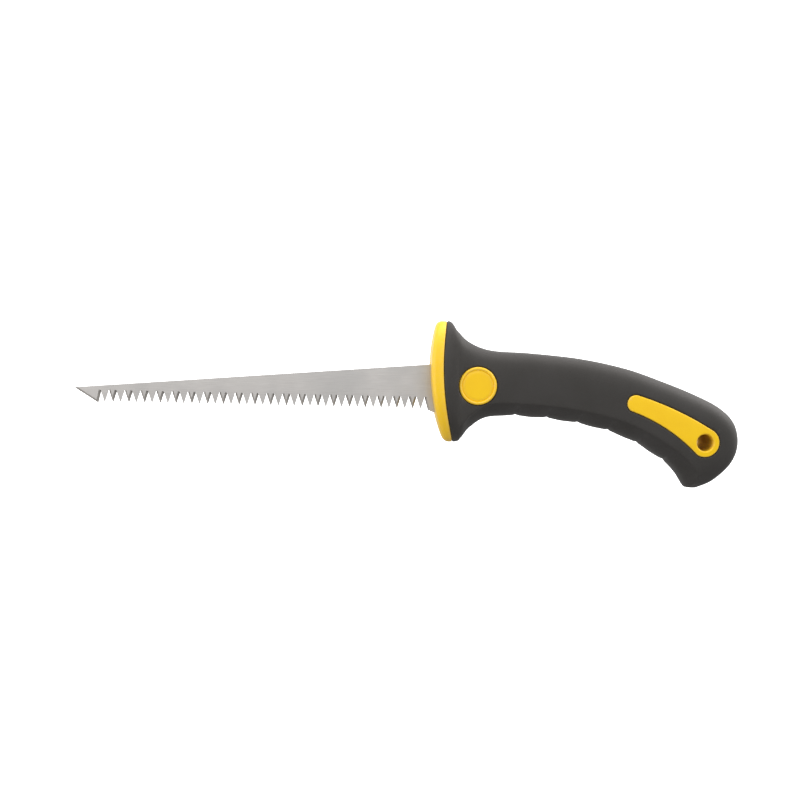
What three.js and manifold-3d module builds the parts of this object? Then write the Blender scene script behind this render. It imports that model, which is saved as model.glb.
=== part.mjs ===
// Drywall saw: a tapered, fixed blade bolted into a curved, rubber-covered handle.
// Millimetres. X runs from the blade's point to the butt of the handle, Y across it and Z up.
// Pieces are laid out from the guard: X = 0 is its foremost line, and Z = 0 passes through the
// blade bolt. The finished group is then shifted so that its origin is the hanging hole's centre.
import * as THREE from 'three';
import { LoftGeometry } from 'three/addons/geometries/LoftGeometry.js';
import { mergeVertices } from 'three/addons/utils/BufferGeometryUtils.js';
import Module from 'manifold-3d';

// Blade
const bladeLength = 165; // point to the guard's front
const bladeThickness = 1.3;
const backHeight = 10.2; // back edge above the bolt line, at the guard
const heelDrop = 12; // heel below the bolt line, inside the guard
const pointDrop = 0.3; // point below the bolt line
const noseLength = 11.2; // slanted, sharpened nose
const noseDrop = 7.5; // corner of the nose below the bolt line
const noseGap = 1; // corner of the nose to the first gullet, at least
const toothPitch = 3.65; // 7 teeth per inch
const toothDepth = 5;
const tipFlat = 0.4; // blunt end of a tooth
const gulletDropNose = 1.9; // bottoms of the gullets below the bolt line, at the nose
const gulletDropHeel = 5.2; // and at the heel
const heelLand = 2.8; // last gullet to the guard's front
const heelCornerLead = 1.3; // corner of the heel to the guard's front
const heelCornerDrop = 10.9; // and below the bolt line
const heelRun = 1.3; // lower end of the heel's slope, behind the guard's front
const bevelWidth = 0.95; // ground flank, measured across the tooth
const edgeLand = 0.25; // thickness left at a ground edge
const grindRun = 0.2; // the grinding wheel runs this far past the ends of a tooth's edge
const grindClear = 0.12; // and this far off the blade's faces and edges

// Tang, the part of the blade inside the handle
const tangLength = 62; // from the guard's front
const tangHeight = 15;
const tangTip = 10; // height of its rear end
const shoulderX = 10; // full blade height reaches this far in

// Handle
const handleLength = 141.2; // guard's front to the back of the butt
const guardTop = 30.1; // above the bolt line
const guardBottom = 25.6; // below it
const guardWidth = 32;
const gripTop = 16.4; // crest of the grip behind the guard, above the bolt line
const gripBottom = 13.7; // its belly, below it
const gripWidth = 27;
const rimThickness = 5.3;
const rimFrontRadius = 94; // bow of the rim's front face
const rimRearRadius = 125; // bow of its rear face
const rimBowHeight = 7.5; // foremost line of the bow, above the bolt line
const rubberWall = 2.6;
const shellWall = 2.4;
const noseDepth = 1.5; // core's nose reaching into the rim
const noseHeight = 28;
const noseWidth = 18;

// Grooves across the belly of the grip
const grooveCount = 6;
const groovePitch = 14.5;
const grooveStart = 43.6; // first groove, along the belly from the guard's front
const grooveRadius = 2.4;
const grooveDepth = 0.7;

// Badges and the bolt below them
const badgeX = 20.8;
const badgeDiameter = 17;
const badgeRim = 1.2; // width of the raised rim
const badgeProud = 0.5; // rim above the rubber
const badgeDish = 0.4; // face below the rim
const boltDiameter = 5;
const boltHeadDiameter = 10;
const boltHeadHeight = 2.6;
const boltSeat = 5; // underside of the head, from the middle plane
const barrelDiameter = 7.4; // sleeve of the barrel nut
const badgeSpigot = 2; // spigot of the badge in the bolt's counterbore

// Rivet through the rear of the tang
const rivetX = 50;
const rivetDiameter = 4;
const rivetLength = 12;

// Screws that close the core
const screwDiameter = 3;
const screwHeadDiameter = 5.6;
const screwHeadHeight = 2.2;
const screwLength = 12; // below the head
const screwSeat = 4.5; // underside of the head, from the middle plane
const bossWall = 1.9;
const buttScrewLand = 4.2; // from the wall of the hanging hole to the head of the last screw

// Inlays and the hanging hole
const hangHoleDiameter = 7.6;
const hangTubeWall = 2;
const inlayNoseRadius = 3.9;
const inlayRingLand = 0.5; // inlay's round end past the wall of the hole
const inlayUpperBow = 1.1; // upward bow of its upper edge
const inlayLowerBow = 2.1; // and of its lower one

// Fits
const fit = 0.3; // clearance between pieces
const splitGap = 0.3; // between the two halves of the core

// ------------------------------------------------------------------ solids

const wasm = await Module();
wasm.setup();
const { Manifold, Mesh: SolidMesh } = wasm;
const cutterReach = 60; // cutters run this far past whatever they cut
const pastMiddle = -1; // and this far past the middle plane
const smoothSides = 36; // facets of a badge
const holeSides = 24; // facets of the hanging hole

function solid(geometry) {
  const bare = new THREE.BufferGeometry().copy(geometry);
  bare.deleteAttribute('normal');
  bare.deleteAttribute('uv');
  const merged = mergeVertices(bare, 1e-4);
  return new Manifold(new SolidMesh({
    numProp: 3,
    vertProperties: merged.attributes.position.array,
    triVerts: new Uint32Array(merged.index.array),
  }));
}

function geometryOf(shape) {
  const { vertProperties, triVerts } = shape.getMesh();
  const indexed = new THREE.BufferGeometry();
  indexed.setAttribute('position', new THREE.BufferAttribute(vertProperties, 3));
  indexed.setIndex(new THREE.BufferAttribute(triVerts, 1));
  const flat = indexed.toNonIndexed();
  flat.computeVertexNormals();
  return flat;
}

// An outline drawn in X and Z, as a plate between two values of Y.
function plate(outline, fromY, toY, curveSegments = 8) {
  const depth = toY - fromY;
  const geometry = new THREE.ExtrudeGeometry(outline, { depth, curveSegments, bevelEnabled: false });
  return solid(geometry.rotateX(Math.PI / 2).translate(0, toY, 0));
}

function box(minX, maxX, minY, maxY, minZ, maxZ) {
  const geometry = new THREE.BoxGeometry(maxX - minX, maxY - minY, maxZ - minZ);
  return solid(geometry.translate((minX + maxX) / 2, (minY + maxY) / 2, (minZ + maxZ) / 2));
}

// A round pin along Y at the point (x, y) of an outline.
function pin(at, diameter, fromY, toY, sides = 16) {
  const geometry = new THREE.CylinderGeometry(diameter / 2, diameter / 2, toY - fromY, sides);
  return solid(geometry.translate(at.x, (fromY + toY) / 2, at.y));
}

// A turned piece: its profile's pairs are a radius and a place along Y, from the axis to the axis.
function turned(at, profile, sides = 16) {
  const points = profile.map(([radius, along]) => new THREE.Vector2(radius, along));
  return solid(new THREE.LatheGeometry(points, sides).translate(at.x, 0, at.y));
}

// ------------------------------------------------------------------ handle outline

const mix = THREE.MathUtils.lerp;
const crest = (flare) => mix(gripTop, guardTop, flare); // flare is 1 at the guard and 0 on the grip
const belly = (flare) => -mix(gripBottom, guardBottom, flare);
const half = (flare) => mix(gripWidth, guardWidth, flare) / 2;
const crestPast = (drop) => gripTop - drop;
const bellyPast = (drop) => -gripBottom - drop;
const slim = (share) => (share * gripWidth) / 2;

// Sections from the guard to the butt: crest and belly, each as its share of the handle's
// length and its height, and the half width. They fan round to lie flat under the butt.
const sections = [
  [-0.01, crest(1), -0.01, belly(1), half(1)],
  [0.0605, crest(1), 0.0765, belly(1), half(1)],
  [0.0875, crest(0.66), 0.0975, belly(0.85), half(0.55)],
  [0.1275, crest(0.28), 0.1285, belly(0.42), half(0.2)],
  [0.198, crest(0.015), 0.191, belly(0.03), half(0.05)],
  [0.325, crestPast(1.1), 0.323, bellyPast(0.5), slim(1)],
  [0.488, crestPast(3.7), 0.457, bellyPast(2.9), slim(1)],
  [0.6335, crestPast(8.2), 0.584, bellyPast(7.2), slim(1.01)],
  [0.75, crestPast(14), 0.677, bellyPast(12.9), slim(1.02)],
  [0.854, crestPast(20), 0.743, bellyPast(18.9), slim(1.02)],
  [0.936, crestPast(26.1), 0.783, bellyPast(23.3), slim(1)],
  [0.985, crestPast(33.4), 0.8035, bellyPast(26.5), slim(0.96)],
  [1.0, crestPast(42.9), 0.8135, bellyPast(28.8), slim(0.9)],
  [0.979, crestPast(52.2), 0.8195, bellyPast(30.3), slim(0.79)],
  [0.922, crestPast(60.1), 0.8245, bellyPast(31.5), slim(0.58)],
  [0.868, crestPast(63.1), 0.8295, bellyPast(32.5), slim(0.31)],
];
const lastSection = sections.length - 1;
const along = (share, height) => new THREE.Vector2(share * handleLength, height);
const crestCurve = new THREE.SplineCurve(sections.map(([x, z]) => along(x, z)));
const bellyCurve = new THREE.SplineCurve(sections.map(([, , x, z]) => along(x, z)));
const widthCurve = new THREE.SplineCurve(sections.map((row, i) => new THREE.Vector2(i, row[4])));

// A point of the handle's middle plane: which section, and -1 at the belly to 1 at the crest.
function handlePoint(section, height) {
  const t = section / lastSection;
  return bellyCurve.getPoint(t).lerp(crestCurve.getPoint(t), (height + 1) / 2);
}

// The same, between the belly and the crest of the core under the rubber.
function corePoint(section, height) {
  const middle = handlePoint(section, 0);
  const up = handlePoint(section, 1).sub(middle);
  return middle.addScaledVector(up.normalize(), height * coreDepth(section));
}

function coreDepth(section) {
  return handlePoint(section, 1).distanceTo(handlePoint(section, -1)) / 2 - rubberWall;
}

function handleRing(section, inset, sides) {
  const t = section / lastSection;
  const middle = handlePoint(section, 0);
  const up = handlePoint(section, 1).sub(middle);
  up.setLength(up.length() - inset);
  const width = widthCurve.getPoint(t).y - inset;
  const squareness = 2.5; // 2 is an ellipse
  const rounded = (value) => Math.sign(value) * Math.abs(value) ** (2 / squareness);
  const ring = [];
  for (let i = 0; i < sides; i++) {
    const angle = (2 * Math.PI * i) / sides;
    const height = rounded(Math.sin(angle));
    const across = rounded(Math.cos(angle)) * width;
    ring.push(new THREE.Vector3(middle.x + up.x * height, across, middle.y + up.y * height));
  }
  return ring;
}

// The handle's skin, or the same form shrunk by an inset, between two sections. Forms with the
// same step and number of sides have matching facets, so they nest evenly.
function handleForm(inset, first, last, step, sides) {
  const loft = [];
  for (let section = first; section < last - step / 4; section += step) {
    loft.push(handleRing(section, inset, sides));
  }
  loft.push(handleRing(last, inset, sides));
  return solid(new LoftGeometry(loft, { capStart: true, capEnd: true }));
}

// Everything ahead of a bowed face, as an outline.
function ahead(radius, foremost) {
  const tall = cutterReach;
  const swing = Math.asin(tall / radius);
  const backset = radius * (1 - Math.cos(swing));
  const outline = new THREE.Shape();
  outline.moveTo(-cutterReach, rimBowHeight - tall);
  outline.lineTo(foremost + backset, rimBowHeight - tall);
  outline.absarc(foremost + radius, rimBowHeight, radius, Math.PI + swing, Math.PI - swing, true);
  outline.lineTo(-cutterReach, rimBowHeight + tall);
  return outline;
}

const skinStep = 0.4;
const skinSides = 24;
const coreStep = 0.5;
const coreSides = 16;
const skin = handleForm(0, 0, lastSection, skinStep, skinSides);
const aheadOfRim = plate(ahead(rimFrontRadius, 0), -cutterReach, cutterReach, 24);
const behindRim = plate(ahead(rimRearRadius, rimThickness), -cutterReach, cutterReach, 24);
const behindGap = plate(ahead(rimRearRadius, rimThickness + fit), -cutterReach, cutterReach, 24);

// ------------------------------------------------------------------ places on the middle plane

const badgeCentre = new THREE.Vector2(badgeX, 0);
const rivetCentre = new THREE.Vector2(rivetX, 0);
const hangHole = handlePoint(10.35, -0.03);
const inlayNose = handlePoint(7.37, 0.06);
const hangTubeDiameter = hangHoleDiameter + 2 * hangTubeWall;
const inlayRingRadius = hangTubeDiameter / 2 + inlayRingLand;
const coreEnd = lastSection - 1.6; // section where the core stops inside the butt
const toButt = handlePoint(coreEnd, 0).sub(hangHole).normalize();
const buttScrewReach = hangTubeDiameter / 2 + buttScrewLand + screwHeadDiameter / 2;
const screwPlaces = {
  shell_screw_front: corePoint(3.3, 0.64),
  shell_screw_middle: corePoint(6.35, 0),
  shell_screw_rear: corePoint(8.9, 0.1),
  shell_screw_butt: hangHole.clone().addScaledVector(toButt, buttScrewReach),
};

// ------------------------------------------------------------------ blade

// Height of the blade's back edge, which rises evenly from the point.
function backAt(x) {
  return backHeight + ((backHeight + pointDrop) * x) / bladeLength;
}

const heelCorner = new THREE.Vector2(-heelCornerLead, -heelCornerDrop);

// The hidden part of the blade, or its pocket when grown by a clearance.
function tangOutline(grow) {
  const outline = new THREE.Shape();
  outline.moveTo(-heelLand, backAt(-heelLand) + grow);
  outline.lineTo(-heelLand, -gulletDropHeel - grow);
  outline.lineTo(heelCorner.x, heelCorner.y - grow);
  outline.lineTo(heelRun, -heelDrop - grow);
  outline.lineTo(shoulderX + grow, -heelDrop - grow);
  outline.lineTo(shoulderX + grow, -tangHeight / 2 - grow);
  outline.lineTo(tangLength + grow, -tangTip / 2 - grow);
  outline.lineTo(tangLength + grow, tangTip / 2 + grow);
  outline.lineTo(shoulderX + grow, tangHeight / 2 + grow);
  outline.lineTo(shoulderX + grow, backAt(shoulderX) + grow);
  return outline;
}

const firstGullet = -bladeLength + noseLength + noseGap;
const toothCount = Math.floor((-heelLand - firstGullet) / toothPitch);
const gulletSlope = (gulletDropNose - gulletDropHeel) / (-heelLand - firstGullet);
function gullet(index) {
  const x = -heelLand - (toothCount - index) * toothPitch;
  return new THREE.Vector2(x, -gulletDropHeel + gulletSlope * (x + heelLand));
}

// One corner of a tooth's blunt tip: side is -1 towards the nose and 1 towards the heel.
function toothTip(index, side) {
  const middle = gullet(index).lerp(gullet(index + 1), 0.5);
  return middle.add(new THREE.Vector2((side * tipFlat) / 2, -toothDepth));
}

const bladePoint = new THREE.Vector2(-bladeLength, -pointDrop);
const noseCorner = new THREE.Vector2(-bladeLength + noseLength, -noseDrop);

function bladeOutline() {
  const points = [bladePoint, noseCorner];
  for (let i = 0; i < toothCount; i++) {
    points.push(gullet(i), toothTip(i, -1), toothTip(i, 1));
  }
  points.push(gullet(toothCount), new THREE.Vector2(-heelLand, backAt(-heelLand)));
  return new THREE.Shape(points);
}

// A wedge ground off one side of the blade along its edge from one point to another. The blade
// is on the left of that line, and the wedge opens towards the side, 1 or -1.
function groundWedge(from, to, side) {
  const direction = to.clone().sub(from).normalize();
  const end = to.clone().addScaledVector(direction, grindRun);
  const face = bladeThickness / 2;
  const slope = (bladeThickness - edgeLand) / bevelWidth;
  const section = new THREE.Shape([
    new THREE.Vector2(bevelWidth + grindClear / slope, side * (face + grindClear)),
    new THREE.Vector2(-grindClear, side * (face + grindClear)),
    new THREE.Vector2(-grindClear, side * (edgeLand - face - grindClear * slope)),
  ]);
  const depth = from.distanceTo(to) + 2 * grindRun;
  const inward = new THREE.Vector3(-direction.y, 0, direction.x);
  const across = new THREE.Vector3(0, 1, 0);
  const backward = new THREE.Vector3(-direction.x, 0, -direction.y);
  const placed = new THREE.Matrix4().makeBasis(inward, across, backward).setPosition(end.x, 0, end.y);
  return solid(new THREE.ExtrudeGeometry(section, { depth, bevelEnabled: false }).applyMatrix4(placed));
}

function makeBlade() {
  const halfThick = bladeThickness / 2;
  const wedges = [];
  for (let i = 0; i < toothCount; i++) {
    const side = i % 2 ? -1 : 1; // teeth are ground on alternate sides
    wedges.push(groundWedge(gullet(i), toothTip(i, -1), side));
    wedges.push(groundWedge(toothTip(i, 1), gullet(i + 1), side));
  }
  wedges.push(groundWedge(gullet(toothCount), heelCorner, toothCount % 2 ? -1 : 1));
  wedges.push(groundWedge(bladePoint, noseCorner, -1));
  wedges.push(groundWedge(noseCorner, gullet(0), -1));
  return plate(bladeOutline(), -halfThick, halfThick)
    .add(plate(tangOutline(0), -halfThick, halfThick))
    .subtract(Manifold.union(wedges))
    .subtract(pin(badgeCentre, boltDiameter + 2 * fit, -halfThick - 1, halfThick + 1))
    .subtract(pin(rivetCentre, rivetDiameter + 2 * fit, -halfThick - 1, halfThick + 1));
}

// ------------------------------------------------------------------ guard rim

function makeGuardRim() {
  const slotHalf = bladeThickness / 2 + fit;
  const floor = rimThickness - noseDepth - fit;
  return skin
    .intersect(behindRim)
    .subtract(aheadOfRim)
    .subtract(box(floor, cutterReach, -noseWidth / 2 - fit, noseWidth / 2 + fit,
      -noseHeight / 2 - fit, noseHeight / 2 + fit))
    .subtract(box(-cutterReach, cutterReach, -slotHalf, slotHalf, -heelDrop - fit,
      backAt(shoulderX) + fit));
}

// ------------------------------------------------------------------ badges, bolt, rivet, screws

// Everything below is laid out on the right side, +Y; the left side's pieces are mirrored.
const badgeFace = half(0.1) + badgeProud; // rim of the badge, from the middle plane
const badgeSeat = half(0.1) - rubberWall - 0.5; // flat milled on the core below the badge
const headTop = boltSeat + boltHeadHeight;

function makeBadge() {
  const radius = badgeDiameter / 2;
  const base = badgeSeat + fit;
  const face = badgeFace - badgeDish;
  const spigotRadius = boltHeadDiameter / 2;
  return turned(badgeCentre, [
    [0, base - badgeSpigot],
    [spigotRadius, base - badgeSpigot],
    [spigotRadius, base],
    [radius, base],
    [radius, badgeFace - badgeProud / 2],
    [radius - badgeProud / 2, badgeFace],
    [radius - badgeRim, badgeFace],
    [radius - badgeRim - 0.3, face],
    [0, face],
  ], smoothSides);
}

// A head with a hexagonal socket on a plain shank, pointing down from its seat towards -Y.
function makeScrew(at, seat, headDiameter, headHeight, shankDiameter, length) {
  const head = headDiameter / 2;
  const shank = shankDiameter / 2;
  return turned(at, [
    [0, seat - length],
    [shank - fit, seat - length],
    [shank, seat - length + 1],
    [shank, seat],
    [head, seat],
    [head, seat + headHeight - 0.4],
    [head - 0.4, seat + headHeight],
    [0, seat + headHeight],
  ]).subtract(pin(at, headDiameter / 2, seat + headHeight / 2, seat + headHeight + 1, 6));
}

function makeBarrelNut() {
  const head = boltHeadDiameter / 2;
  const sleeve = barrelDiameter / 2;
  const bore = boltDiameter / 2 + fit;
  const mouth = bladeThickness / 2 + fit;
  return turned(badgeCentre, [
    [0, boltSeat],
    [bore, boltSeat],
    [bore, mouth],
    [sleeve, mouth],
    [sleeve, boltSeat],
    [head, boltSeat],
    [head, headTop],
    [0, headTop],
  ]);
}

function makeRivet() {
  const length = rivetLength / 2;
  const radius = rivetDiameter / 2;
  return turned(rivetCentre, [
    [0, -length],
    [radius - fit, -length],
    [radius, -length + fit],
    [radius, length - fit],
    [radius - fit, length],
    [0, length],
  ]);
}

// ------------------------------------------------------------------ inlays and hanging hole

// A tapered drop from a small round nose to a larger round ring about the hanging hole.
function dropOutline(grow) {
  const nose = inlayNoseRadius + grow;
  const ring = inlayRingRadius + grow;
  const reach = hangHole.clone().sub(inlayNose);
  const heading = Math.atan2(reach.y, reach.x);
  const flank = Math.acos((nose - ring) / reach.length()); // where both circles meet their tangent
  const on = (centre, radius, angle) =>
    new THREE.Vector2(Math.cos(angle), Math.sin(angle)).multiplyScalar(radius).add(centre);
  const lift = new THREE.Vector2(-Math.sin(heading), Math.cos(heading));
  const bowed = (a, b, rise) => a.clone().lerp(b, 0.5).addScaledVector(lift, 2 * rise);
  const upper = heading + flank;
  const lower = heading - flank;
  const outline = new THREE.Shape();
  outline.absarc(inlayNose.x, inlayNose.y, nose, upper, lower + 2 * Math.PI, false);
  const lowerStart = on(inlayNose, nose, lower);
  const lowerEnd = on(hangHole, ring, lower);
  const lowerMiddle = bowed(lowerStart, lowerEnd, inlayLowerBow);
  outline.quadraticCurveTo(lowerMiddle.x, lowerMiddle.y, lowerEnd.x, lowerEnd.y);
  outline.absarc(hangHole.x, hangHole.y, ring, lower, upper, false);
  const upperStart = on(hangHole, ring, upper);
  const upperEnd = on(inlayNose, nose, upper);
  const upperMiddle = bowed(upperStart, upperEnd, inlayUpperBow);
  outline.quadraticCurveTo(upperMiddle.x, upperMiddle.y, upperEnd.x, upperEnd.y);
  return outline;
}

const rubberCavity = handleForm(rubberWall - fit, 0, coreEnd + 0.1, coreStep, coreSides);

function makeInlay() {
  return skin
    .intersect(plate(dropOutline(0), 0, cutterReach))
    .subtract(rubberCavity)
    .add(pin(hangHole, hangTubeDiameter, splitGap / 2, slim(1) - rubberWall / 2, holeSides))
    .subtract(pin(hangHole, hangHoleDiameter, -cutterReach, cutterReach, holeSides));
}

// ------------------------------------------------------------------ grip

function makeGrip() {
  const cuts = [behindGap, rubberCavity];
  const bellyLength = bellyCurve.getLength();
  for (let i = 0; i < grooveCount; i++) {
    const share = (grooveStart + i * groovePitch) / bellyLength;
    const outward = bellyCurve.getTangentAt(share);
    const centre = bellyCurve.getPointAt(share);
    centre.x += outward.y * (grooveRadius - grooveDepth);
    centre.y -= outward.x * (grooveRadius - grooveDepth);
    cuts.push(pin(centre, 2 * grooveRadius, -cutterReach, cutterReach));
  }
  cuts.push(pin(badgeCentre, badgeDiameter + 2 * fit, -cutterReach, cutterReach, smoothSides));
  cuts.push(plate(dropOutline(fit), -cutterReach, cutterReach));
  return skin.subtract(Manifold.union(cuts));
}

// ------------------------------------------------------------------ core

// One half of the core: a shell with a flat mating face, bosses for the fasteners and a pocket
// that holds the tang. Screw heads sit in the left half, and their threads in the right one.
function makeCoreHalf(holdsHeads) {
  const outer = handleForm(rubberWall, 0, coreEnd, coreStep, coreSides).subtract(behindGap);
  const nose = box(rimThickness - noseDepth, shoulderX, -noseWidth / 2, noseWidth / 2,
    -noseHeight / 2, noseHeight / 2);
  const hollowStart = 4; // sections where the hollow behind the tang begins and ends
  const hollowEnd = coreEnd - 0.6;
  const inner = handleForm(rubberWall + shellWall, hollowStart, hollowEnd, 2 * coreStep, coreSides);
  const tangBlock = box(0, tangLength + 2 * shellWall, -cutterReach, cutterReach,
    -cutterReach, cutterReach);
  const bosses = [tangBlock];
  const bossDiameter = screwHeadDiameter + 2 * fit + 2 * bossWall;
  const boltHole = holdsHeads ? boltDiameter : barrelDiameter;
  const screwHoleEnd = holdsHeads ? screwSeat : screwLength - screwSeat + 1;
  const pocketDepth = bladeThickness / 2 + fit;
  const holes = [
    plate(tangOutline(fit), pastMiddle, pocketDepth),
    pin(rivetCentre, rivetDiameter + 2 * fit, pastMiddle, rivetLength / 2 + fit),
    pin(badgeCentre, badgeDiameter + 2 * fit, badgeSeat, cutterReach, smoothSides),
    pin(badgeCentre, boltHeadDiameter + 2 * fit, boltSeat - fit, cutterReach),
    pin(badgeCentre, boltHole + 2 * fit, pastMiddle, boltSeat),
    pin(hangHole, hangTubeDiameter + 2 * fit, pastMiddle, cutterReach, holeSides),
  ];
  for (const at of Object.values(screwPlaces)) {
    bosses.push(pin(at, bossDiameter, 0, cutterReach));
    holes.push(pin(at, screwDiameter + 2 * fit, pastMiddle, screwHoleEnd));
    if (holdsHeads) holes.push(pin(at, screwHeadDiameter + 2 * fit, screwSeat - fit, cutterReach));
  }
  bosses.push(pin(hangHole, hangTubeDiameter + 2 * fit + 2 * shellWall, 0, cutterReach));
  const hollow = inner.subtract(Manifold.union(bosses));
  const matingSide = box(-cutterReach, 2 * cutterReach + handleLength, splitGap / 2, cutterReach,
    -2 * cutterReach, cutterReach);
  return outer
    .add(nose)
    .subtract(hollow)
    .intersect(matingSide)
    .subtract(Manifold.union(holes));
}

// ------------------------------------------------------------------ the saw

const finishes = {
  steel: { color: 0xc1bdb8, roughness: 0.38, metalness: 0.9 },
  fastener: { color: 0x9a9b9c, roughness: 0.45, metalness: 0.9 },
  yellow: { color: 0xf6cc2c, roughness: 0.42, metalness: 0 },
  core: { color: 0xe6ba22, roughness: 0.55, metalness: 0 },
  rubber: { color: 0x444240, roughness: 0.7, metalness: 0 },
};

const saw = new THREE.Group();
saw.position.set(-hangHole.x, 0, -hangHole.y);

function add(name, shape, finish, side = 1) {
  const mesh = new THREE.Mesh(geometryOf(shape), new THREE.MeshStandardMaterial(finishes[finish]));
  mesh.name = name;
  mesh.scale.y = side;
  saw.add(mesh);
}

add('blade', makeBlade(), 'steel');
add('guard_rim', makeGuardRim(), 'yellow');
add('grip', makeGrip(), 'rubber');
add('core_right', makeCoreHalf(false), 'core');
add('core_left', makeCoreHalf(true), 'core', -1);
add('badge_right', makeBadge(), 'yellow');
add('badge_left', makeBadge(), 'yellow', -1);
add('inlay_right', makeInlay(), 'yellow');
add('inlay_left', makeInlay(), 'yellow', -1);
add('blade_bolt', makeScrew(badgeCentre, boltSeat, boltHeadDiameter, boltHeadHeight, boltDiameter,
  2 * boltSeat - fit), 'fastener', -1);
add('barrel_nut', makeBarrelNut(), 'fastener');
add('tang_rivet', makeRivet(), 'fastener');
for (const [name, at] of Object.entries(screwPlaces)) {
  add(name, makeScrew(at, screwSeat, screwHeadDiameter, screwHeadHeight, screwDiameter, screwLength),
    'fastener', -1);
}

const drywallSaw = new THREE.Group();
drywallSaw.add(saw);

export default drywallSaw;
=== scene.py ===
# Drywall saw: rubber covered handle, guard rim, badges, inlays and the finishes of the CAD pieces.
# Lengths are written in millimetres and multiplied by mm where they are used.
import math

import bmesh
import bpy
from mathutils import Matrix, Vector
from mathutils.bvhtree import BVHTree


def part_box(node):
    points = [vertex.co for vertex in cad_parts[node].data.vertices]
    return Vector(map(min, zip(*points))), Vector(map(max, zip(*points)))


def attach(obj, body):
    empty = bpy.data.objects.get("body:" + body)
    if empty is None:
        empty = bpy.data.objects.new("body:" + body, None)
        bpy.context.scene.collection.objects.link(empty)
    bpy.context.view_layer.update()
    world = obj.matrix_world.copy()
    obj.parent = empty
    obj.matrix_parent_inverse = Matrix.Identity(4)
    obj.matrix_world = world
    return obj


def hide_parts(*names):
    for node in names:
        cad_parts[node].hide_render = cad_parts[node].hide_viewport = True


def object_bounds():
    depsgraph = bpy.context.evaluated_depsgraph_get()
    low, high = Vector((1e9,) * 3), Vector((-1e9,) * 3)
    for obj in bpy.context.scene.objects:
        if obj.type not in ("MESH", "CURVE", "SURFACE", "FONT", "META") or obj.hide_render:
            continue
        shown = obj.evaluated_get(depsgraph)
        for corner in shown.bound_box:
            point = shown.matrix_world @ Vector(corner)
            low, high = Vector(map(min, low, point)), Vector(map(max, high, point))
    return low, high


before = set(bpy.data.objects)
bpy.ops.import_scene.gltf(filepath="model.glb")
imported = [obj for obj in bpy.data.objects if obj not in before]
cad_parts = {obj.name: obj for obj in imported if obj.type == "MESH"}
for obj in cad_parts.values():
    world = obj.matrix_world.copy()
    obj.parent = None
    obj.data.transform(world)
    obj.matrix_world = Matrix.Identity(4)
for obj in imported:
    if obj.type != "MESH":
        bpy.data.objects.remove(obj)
cadLow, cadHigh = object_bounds()
print("frame loaded:", len(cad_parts), "pieces")

mm = 0.001
weldGap = 0.002  # nearer vertices become one
seamGap = 0.01  # the same along the seams of rings that meet
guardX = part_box("guard_rim")[0].x  # foremost line of the guard
boltLow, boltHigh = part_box("blade_bolt")
boltZ = (boltLow.z + boltHigh.z) / 2
badgeLow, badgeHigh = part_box("badge_left")
handleLength = (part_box("grip")[1].x - guardX) / mm


def toFrame(x, y, z):
    # millimetres from the guard's foremost line and the blade bolt
    return Vector((guardX + x * mm, y * mm, boltZ + z * mm))


def startRing(bm, points):
    # a closed loop of edges; every vertex remembers its place round the loop
    place = bm.verts.layers.int.get("place") or bm.verts.layers.int.new("place")
    made = bmesh.ops.create_circle(bm, segments=len(points), radius=mm)["verts"]
    for index, vert in enumerate(made):
        vert[place] = index
        vert.co = points[index]
    return list({edge for vert in made for edge in vert.link_edges})


def growRing(bm, loop, points):
    # extrudes the loop and sets its new vertices on points
    place = bm.verts.layers.int["place"]
    made = bmesh.ops.extrude_edge_only(bm, edges=loop)["geom"]
    verts = {item for item in made if isinstance(item, bmesh.types.BMVert)}
    for vert in verts:
        vert.co = points[vert[place]]
    edges = {edge for vert in verts for edge in vert.link_edges}
    return [edge for edge in edges if edge.verts[0] in verts and edge.verts[1] in verts]


def growRings(bm, loop, rings):
    for points in rings:
        loop = growRing(bm, loop, points)
    return loop


def finishPiece(name, bm, material, slot, *nodes, sharp=35):
    # outward normals, soft shading with sharp corners kept, and its place in the frame
    bmesh.ops.remove_doubles(bm, verts=bm.verts, dist=weldGap * mm)
    bmesh.ops.recalc_face_normals(bm, faces=bm.faces)
    mesh = bpy.data.meshes.new(name)
    bm.to_mesh(mesh)
    bm.free()
    piece = bpy.data.objects.new(name, mesh)
    bpy.context.scene.collection.objects.link(piece)
    mesh.materials.append(material)
    softShade(mesh, sharp)
    if slot:
        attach(piece, "root")
        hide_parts(*nodes)
    return piece


def softShade(mesh, sharp):
    mesh.shade_smooth()
    mesh.set_sharp_from_angle(angle=math.radians(sharp))


def cutWith(piece, cutters):
    # subtracts the cutters one by one and removes them
    for cutter in cutters:
        cut = piece.modifiers.new("cut", "BOOLEAN")
        cut.operation = "DIFFERENCE"
        cut.solver = "EXACT"
        cut.object = cutter
        bpy.context.view_layer.objects.active = piece
        bpy.ops.object.modifier_apply(modifier=cut.name)
        bpy.data.objects.remove(cutter)


def spinProfile(bm, points, centre, axis, steps):
    # turns a chain of points all round an axis
    verts = [bm.verts.new(point) for point in points]
    edges = [bm.edges.new(pair) for pair in zip(verts, verts[1:])]
    geom = verts + edges
    bmesh.ops.spin(bm, geom=geom, cent=centre, axis=axis, angle=2 * math.pi, steps=steps, use_merge=True)


def mirrored(bm):
    # the same piece for the other side of the saw
    bmesh.ops.scale(bm, verts=bm.verts, vec=(1, -1, 1))
    return bm


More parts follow.
